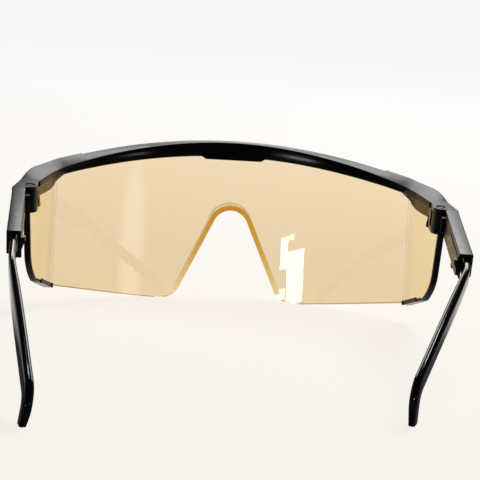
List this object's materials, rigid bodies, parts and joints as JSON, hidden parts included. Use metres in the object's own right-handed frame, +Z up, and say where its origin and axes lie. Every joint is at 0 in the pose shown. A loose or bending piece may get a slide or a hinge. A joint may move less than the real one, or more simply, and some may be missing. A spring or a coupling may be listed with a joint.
{
  "type": "safety goggles",
  "caption": "Wrap-around safety goggles with a one-piece amber lens under a black brow frame and two folding temples of adjustable length.",
  "frame": {"origin": "on the table under the middle of the goggles as they stand open", "axes": "+Z up, -Y towards the front of the lens, +X towards the wearer's left"},
  "size_m": [0.1494, 0.1606, 0.0568],
  "materials": {
    "frame_black": "injection moulded, smooth gloss",
    "lens_amber": "clear tinted sheet, polished",
    "pin_steel": "blackened steel",
    "temple_black": "injection moulded, smooth gloss",
    "arm_black": "injection moulded, smooth gloss"
  },
  "bodies": {
    "front": {"brow_frame": "frame_black", "lens": "lens_amber", "left_hinge_pin": "pin_steel", "right_hinge_pin": "pin_steel"},
    "left_sleeve": {"left_temple_sleeve": "temple_black"},
    "right_sleeve": {"right_temple_sleeve": "temple_black"},
    "left_arm": {"left_temple_arm": "arm_black"},
    "right_arm": {"right_temple_arm": "arm_black"}
  },
  "joints": [
    {"name": "left_fold", "type": "hinge", "parent": "front", "child": "left_sleeve", "pos_m": [0.06902, -0.03357, 0.0441], "axis": [0, 0.1633, 0.9866], "range_deg": [0, 80]},
    {"name": "right_fold", "type": "hinge", "parent": "front", "child": "right_sleeve", "pos_m": [-0.06902, -0.03357, 0.0441], "axis": [0, -0.1633, -0.9866], "range_deg": [0, 88]},
    {"name": "left_length", "type": "slide", "parent": "left_sleeve", "child": "left_arm", "axis": [-0.0802, 0.9834, -0.1628], "range_m": [-0.0096, 0]},
    {"name": "right_length", "type": "slide", "parent": "right_sleeve", "child": "right_arm", "axis": [0.0802, 0.9834, -0.1628], "range_m": [0, 0.0096]}
  ]
}
